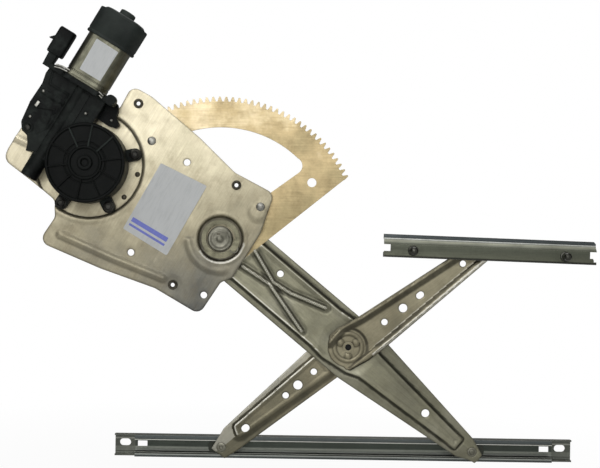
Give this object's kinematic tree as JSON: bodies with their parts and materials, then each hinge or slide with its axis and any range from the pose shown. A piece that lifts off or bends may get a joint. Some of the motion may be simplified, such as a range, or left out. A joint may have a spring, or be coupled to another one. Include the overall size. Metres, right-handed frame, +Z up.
{
  "type": "window regulator",
  "caption": "Powered car door window regulator: a geared motor turns a toothed sector that swings crossed arms to raise and lower a glass rail.",
  "frame": {"origin": "axis of the main pivot in the front face of the base plate, which bolts to the door's inner panel", "axes": "+X along the door towards the rear end of the glass rail, +Y away from the motor side, towards the glass, +Z up"},
  "size_m": [0.6196, 0.0667, 0.4723],
  "materials": {
    "zinc_plate": "yellow zinc plated pressed steel, satin",
    "dark_zinc": "dark zinc plated steel",
    "bright_steel": "bright zinc plated steel",
    "bronze": "sintered bronze",
    "spring_steel": "blued spring steel strip with bright edges",
    "black_plastic": "glass filled nylon, moulded, matt",
    "can_steel": "zinc plated deep drawn steel",
    "black_rubber": "moulded rubber, matt",
    "ferrite": "ferrite magnet, ground",
    "brown_plastic": "phenolic moulding",
    "board_green": "glass epoxy board with solder mask",
    "tinned_brass": "tinned brass terminal",
    "dark_steel": "galvanised roll formed steel, dull",
    "core_steel": "stacked electrical steel",
    "copper": "machined copper segments",
    "white_plastic": "acetal, machined teeth",
    "gear_steel": "hardened sintered steel, oiled",
    "arm_steel": "galvanised pressed steel, olive grey",
    "slider_plastic": "acetal, greased"
  },
  "bodies": {
    "base": {"base_plate": "zinc_plate", "clinch_nuts": "dark_zinc", "plate_rivets": "bright_steel", "pivot_bush": "bronze", "counterbalance_spring": "spring_steel", "gear_housing": "black_plastic", "gear_cover": "black_plastic", "mounting_screws": "bright_steel", "motor_can": "can_steel", "motor_end_cap": "black_rubber", "field_magnets": "ferrite", "brush_holder": "brown_plastic", "rear_bearing": "bronze", "front_bearing": "bronze", "tail_bearing": "bronze", "electronics_case": "black_plastic", "control_board": "board_green", "connector_socket": "black_plastic", "connector_pins": "tinned_brass", "case_screws": "bright_steel", "output_bush": "bronze", "fixed_rail": "dark_steel", "fixed_rail_studs": "bright_steel"},
    "armature": {"armature_shaft": "bright_steel", "armature_core": "core_steel", "commutator": "copper"},
    "drive": {"worm_wheel": "white_plastic", "rubber_damper": "black_rubber", "output_pinion": "gear_steel"},
    "lift": {"sector_gear": "zinc_plate", "lift_arm": "arm_steel", "sector_rivets": "bright_steel", "pivot_pin": "arm_steel", "lift_slider_pin": "bright_steel", "centre_bush": "bronze"},
    "equalizer": {"equalizer_front_arm": "arm_steel", "equalizer_rear_arm": "arm_steel", "centre_pin": "bright_steel", "front_slider_pin": "bright_steel", "rear_slider_pin": "bright_steel"},
    "lift_shoe": {"lift_slider": "slider_plastic"},
    "rear_shoe": {"rear_slider": "slider_plastic"},
    "front_shoe": {"front_slider": "slider_plastic"},
    "glass_rail": {"glass_rail": "dark_steel"}
  },
  "joints": [
    {"name": "lift_swing", "type": "hinge", "parent": "base", "child": "lift", "pos_m": [0, 0, 0], "axis": [0, -1, 0], "range_deg": [-4, 83], "deforming": ["counterbalance_spring"]},
    {"name": "equalizer_swing", "type": "hinge", "parent": "lift", "child": "equalizer", "pos_m": [0.13612, 0, -0.1122], "axis": [0, -1, 0], "range_deg": [-168, 10]},
    {"name": "lift_shoe_turn", "type": "hinge", "parent": "lift", "child": "lift_shoe", "pos_m": [0.26883, 0, -0.22161], "axis": [0, -1, 0], "range_deg": [-85, 6]},
    {"name": "rear_shoe_turn", "type": "hinge", "parent": "equalizer", "child": "rear_shoe", "pos_m": [0.0034, 0, -0.22161], "axis": [0, -1, 0], "range_deg": [-6, 85]},
    {"name": "front_shoe_turn", "type": "hinge", "parent": "equalizer", "child": "front_shoe", "pos_m": [0.27755, 0, -0.00678], "axis": [0, -1, 0], "range_deg": [-6, 85]},
    {"name": "glass_rail_slide", "type": "slide", "parent": "rear_shoe", "child": "glass_rail", "axis": [1, 0, 0], "range_m": [-0.015, 0.015]},
    {"name": "pinion_turn", "type": "hinge", "parent": "base", "child": "drive", "pos_m": [-0.13881, 0, 0.07631], "axis": [0, -1, 0], "range_deg": [-1260, 75]},
    {"name": "armature_turn", "type": "hinge", "parent": "base", "child": "armature", "pos_m": [-0.17664, -0.016, 0.09877], "axis": [0.5105, 0, 0.8599], "range_deg": [-95000, 5000]}
  ],
  "couplings": [
    {"joint": "equalizer_swing", "follows": "lift_swing", "ratio": -2},
    {"joint": "lift_shoe_turn", "follows": "lift_swing", "ratio": -1},
    {"joint": "rear_shoe_turn", "follows": "lift_swing", "ratio": 1},
    {"joint": "front_shoe_turn", "follows": "lift_swing", "ratio": 1},
    {"joint": "pinion_turn", "follows": "lift_swing", "ratio": -15},
    {"joint": "armature_turn", "follows": "lift_swing", "ratio": -1140}
  ]
}
